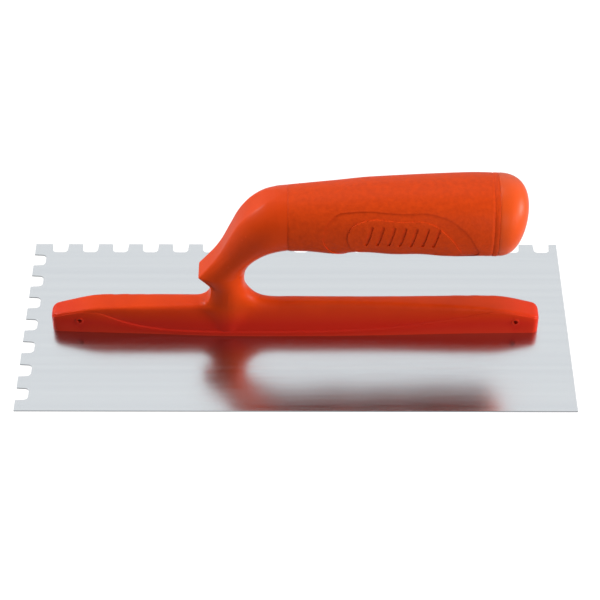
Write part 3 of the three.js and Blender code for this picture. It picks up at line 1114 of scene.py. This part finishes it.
def mouldedSkinGroup():
    # fine moulded grain: a height, and a slow mottling for colour and gloss
    group, start, end = newGroup(
        "mouldedSkin",
        [("Grain Scale", 1500.0), ("Mottle Scale", 60.0), ("Fine Share", 0.4)],
        [("Height", "NodeSocketFloat"), ("Mottle", "NodeSocketFloat")])
    nodes, links = group.nodes, group.links
    where = nodes.new("ShaderNodeTexCoord")
    pores = nodes.new("ShaderNodeTexVoronoi")
    pores.feature = "SMOOTH_F1"
    pores.inputs["Smoothness"].default_value = 0.4
    links.new(where.outputs["Object"], pores.inputs["Vector"])
    links.new(start.outputs["Grain Scale"], pores.inputs["Scale"])
    dust = nodes.new("ShaderNodeTexNoise")
    dust.inputs["Detail"].default_value = 4
    links.new(where.outputs["Object"], dust.inputs["Vector"])
    links.new(start.outputs["Grain Scale"], dust.inputs["Scale"])
    blend = nodes.new("ShaderNodeMix")
    links.new(start.outputs["Fine Share"], blend.inputs["Factor"])
    links.new(pores.outputs["Distance"], blend.inputs["A"])
    links.new(dust.outputs["Fac"], blend.inputs["B"])
    links.new(blend.outputs["Result"], end.inputs["Height"])
    cloud = nodes.new("ShaderNodeTexNoise")
    cloud.inputs["Detail"].default_value = 3
    links.new(where.outputs["Object"], cloud.inputs["Vector"])
    links.new(start.outputs["Mottle Scale"], cloud.inputs["Scale"])
    links.new(cloud.outputs["Fac"], end.inputs["Mottle"])
    return group


def brushedGroup():
    # fine lines along X: a height for the bump and a streak value for gloss
    group, start, end = newGroup(
        "brushedLines",
        [("Line Scale", 2500.0), ("Line Length", 0.01)],
        [("Height", "NodeSocketFloat"), ("Streak", "NodeSocketFloat")])
    nodes, links = group.nodes, group.links
    where = nodes.new("ShaderNodeTexCoord")
    stretch = nodes.new("ShaderNodeVectorMath")
    stretch.operation = "MULTIPLY"
    along = nodes.new("ShaderNodeCombineXYZ")
    along.inputs["Y"].default_value = 1
    along.inputs["Z"].default_value = 1
    links.new(start.outputs["Line Length"], along.inputs["X"])
    links.new(where.outputs["Object"], stretch.inputs[0])
    links.new(along.outputs[0], stretch.inputs[1])
    lines = nodes.new("ShaderNodeTexNoise")
    lines.inputs["Detail"].default_value = 3
    links.new(stretch.outputs[0], lines.inputs["Vector"])
    links.new(start.outputs["Line Scale"], lines.inputs["Scale"])
    links.new(lines.outputs["Fac"], end.inputs["Height"])
    wide = nodes.new("ShaderNodeTexNoise")
    wide.inputs["Scale"].default_value = 220
    wide.inputs["Detail"].default_value = 2
    links.new(stretch.outputs[0], wide.inputs["Vector"])
    links.new(wide.outputs["Fac"], end.inputs["Streak"])
    return group


def edgeGroup():
    # raised edges as a mask
    group, start, end = newGroup("raisedEdges", [("From", 0.52), ("To", 0.6)],
                                 [("Mask", "NodeSocketFloat")])
    nodes, links = group.nodes, group.links
    shapeOf = nodes.new("ShaderNodeNewGeometry")
    reach = nodes.new("ShaderNodeMapRange")
    links.new(shapeOf.outputs["Pointiness"], reach.inputs["Value"])
    links.new(start.outputs["From"], reach.inputs["From Min"])
    links.new(start.outputs["To"], reach.inputs["From Max"])
    links.new(reach.outputs["Result"], end.inputs["Mask"])
    return group


def paintedLowShadeGroup():
    # painted shade: fades from 1 at the foot of the moulding to 0 above it, so the colour turns a deeper red
    # low down, where the flanks are in shade
    group, start, end = newGroup("paintedLowShade", [("Low", 0.008), ("High", 0.02)], [("Mask", "NodeSocketFloat")])
    nodes, links = group.nodes, group.links
    where = nodes.new("ShaderNodeTexCoord")
    split = nodes.new("ShaderNodeSeparateXYZ")
    links.new(where.outputs["Object"], split.inputs[0])
    fade = nodes.new("ShaderNodeMapRange")
    fade.inputs["To Min"].default_value = 1
    fade.inputs["To Max"].default_value = 0
    links.new(split.outputs["Z"], fade.inputs["Value"])
    links.new(start.outputs["Low"], fade.inputs["From Min"])
    links.new(start.outputs["High"], fade.inputs["From Max"])
    links.new(fade.outputs["Result"], end.inputs["Mask"])
    return group


groups = {
    "skin": mouldedSkinGroup(),
    "brushed": brushedGroup(),
    "edges": edgeGroup(),
    "paintedLowShade": paintedLowShadeGroup(),
}


def place(nodes, group, **values):
    node = nodes.new("ShaderNodeGroup")
    node.node_tree = groups[group]
    for label, value in values.items():
        node.inputs[label.replace("_", " ")].default_value = value
    return node


def span(nodes, links, source, low, high, fromLow=0.3, fromHigh=0.7):
    node = nodes.new("ShaderNodeMapRange")
    node.inputs["From Min"].default_value = fromLow
    node.inputs["From Max"].default_value = fromHigh
    node.inputs["To Min"].default_value = low
    node.inputs["To Max"].default_value = high
    links.new(source, node.inputs["Value"])
    return node.outputs["Result"]


def tint(nodes, links, factor, dark, light):
    node = nodes.new("ShaderNodeMix")
    node.data_type = "RGBA"
    links.new(factor, node.inputs["Factor"])
    node.inputs[6].default_value = (*dark, 1)
    node.inputs[7].default_value = (*light, 1)
    return node


def plastic(name, dark, light, roughness, grainScale, grainDepth, gloss, mottleScale=70.0, paintedShadeColour=None):
    finish = bpy.data.materials.new(name)
    finish.use_nodes = True
    nodes, links = finish.node_tree.nodes, finish.node_tree.links
    shader = nodes["Principled BSDF"]
    shader.inputs["Specular IOR Level"].default_value = gloss
    grain = place(nodes, "skin", Grain_Scale=grainScale, Mottle_Scale=mottleScale)
    edges = place(nodes, "edges")
    base = tint(nodes, links, span(nodes, links, grain.outputs["Mottle"], 0, 1), dark, light)
    # painted shade: towards the foot of the moulding the colour deepens to a darker red, standing in for the
    # shade on the lower flanks
    if paintedShadeColour:
        low = place(nodes, "paintedLowShade")
        paintedShadeBase = tint(nodes, links, low.outputs["Mask"], light, paintedShadeColour)
        links.new(base.outputs[2], paintedShadeBase.inputs[6])
        base = paintedShadeBase
    # raised edges, found by the pointiness mask, are made lighter: a brighter orange than the body
    edgeLighter = nodes.new("ShaderNodeMix")
    edgeLighter.data_type = "RGBA"
    edgeShare = span(nodes, links, edges.outputs["Mask"], 0, 0.25, 0, 1)
    links.new(edgeShare, edgeLighter.inputs["Factor"])
    links.new(base.outputs[2], edgeLighter.inputs[6])
    edgeLighter.inputs[7].default_value = (*[min(1, c * 1.25 + 0.02) for c in light], 1)
    links.new(edgeLighter.outputs[2], shader.inputs["Base Color"])
    links.new(span(nodes, links, grain.outputs["Mottle"], roughness - 0.03, roughness + 0.04),
              shader.inputs["Roughness"])
    bump = nodes.new("ShaderNodeBump")
    bump.inputs["Distance"].default_value = grainDepth * mm
    bump.inputs["Strength"].default_value = 1
    links.new(grain.outputs["Height"], bump.inputs["Height"])
    links.new(bump.outputs["Normal"], shader.inputs["Normal"])
    return finish


brushing = {
    "scale": 9000.0,
    "length": 0.004,
    "hazyFrom": 0.48,
    "hazyTo": 0.6,
}


def steel(name, dark, light, roughLow, roughHigh, lineDepth, haze=0.0):
    finish = bpy.data.materials.new(name)
    finish.use_nodes = True
    nodes, links = finish.node_tree.nodes, finish.node_tree.links
    shader = nodes["Principled BSDF"]
    shader.inputs["Metallic"].default_value = 1
    lines = place(nodes, "brushed", Line_Scale=brushing["scale"], Line_Length=brushing["length"])
    base = tint(nodes, links, span(nodes, links, lines.outputs["Streak"], 0, 1), dark, light)
    links.new(base.outputs[2], shader.inputs["Base Color"])
    gloss = span(nodes, links, lines.outputs["Streak"], roughLow, roughHigh)
    hazy = nodes.new("ShaderNodeMath")  # the finest lines are duller than the polish between them
    hazy.operation = "MULTIPLY_ADD"
    hazy.inputs[1].default_value = haze
    fine = span(nodes, links, lines.outputs["Height"], 0, 1, brushing["hazyFrom"], brushing["hazyTo"])
    links.new(fine, hazy.inputs[0])
    links.new(gloss, hazy.inputs[2])
    links.new(hazy.outputs[0], shader.inputs["Roughness"])
    bump = nodes.new("ShaderNodeBump")
    bump.inputs["Distance"].default_value = lineDepth * mm
    links.new(lines.outputs["Height"], bump.inputs["Height"])
    links.new(bump.outputs["Normal"], shader.inputs["Normal"])
    return finish


def dress(piece, finish):
    piece.data.materials.clear()
    piece.data.materials.append(finish)


# the handle's deeper red near the blade is painted shade
handlePlastic = plastic("satinOrange", dark=(0.66, 0.050, 0.003), light=(0.72, 0.058, 0.004),
                        roughness=0.33, grainScale=2600, grainDepth=0.012, gloss=0.16,
                        paintedShadeColour=(0.63, 0.022, 0.009))
sleevePlastic = plastic("grainedOrange", dark=(0.615, 0.048, 0.003), light=(0.71, 0.060, 0.004),
                        roughness=0.48, grainScale=800, grainDepth=0.11, gloss=0.2, mottleScale=420.0)
capPlastic = plastic("glossOrange", dark=(0.69, 0.068, 0.003), light=(0.75, 0.077, 0.004),
                     roughness=0.31, grainScale=2600, grainDepth=0.006, gloss=0.34)
bladeSteel = steel("polishedBlade", dark=(0.50, 0.525, 0.55), light=(0.53, 0.555, 0.575),
                   roughLow=0.18, roughHigh=0.22, lineDepth=0.0012, haze=0.05)
railSteel = steel("pressedRail", dark=(0.34, 0.35, 0.36), light=(0.5, 0.51, 0.52),
                  roughLow=0.38, roughHigh=0.5, lineDepth=0.006)
rivetSteel = steel("rivetSteel", dark=(0.5, 0.51, 0.52), light=(0.62, 0.63, 0.64),
                   roughLow=0.28, roughHigh=0.4, lineDepth=0.004)
pinSteel = steel("pinSteel", dark=(0.08, 0.08, 0.085), light=(0.14, 0.14, 0.145),
                 roughLow=0.4, roughHigh=0.55, lineDepth=0.004)

dress(sheet, bladeSteel)
dress(handle, handlePlastic)
dress(tube, sleevePlastic)
dress(dome, capPlastic)
for piece in rivets:
    dress(piece, rivetSteel)
for piece in pins:
    dress(piece, pinSteel)
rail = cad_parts["mounting_rail"]
for slot in rail.material_slots:
    slot.material = railSteel
print("finishes set")
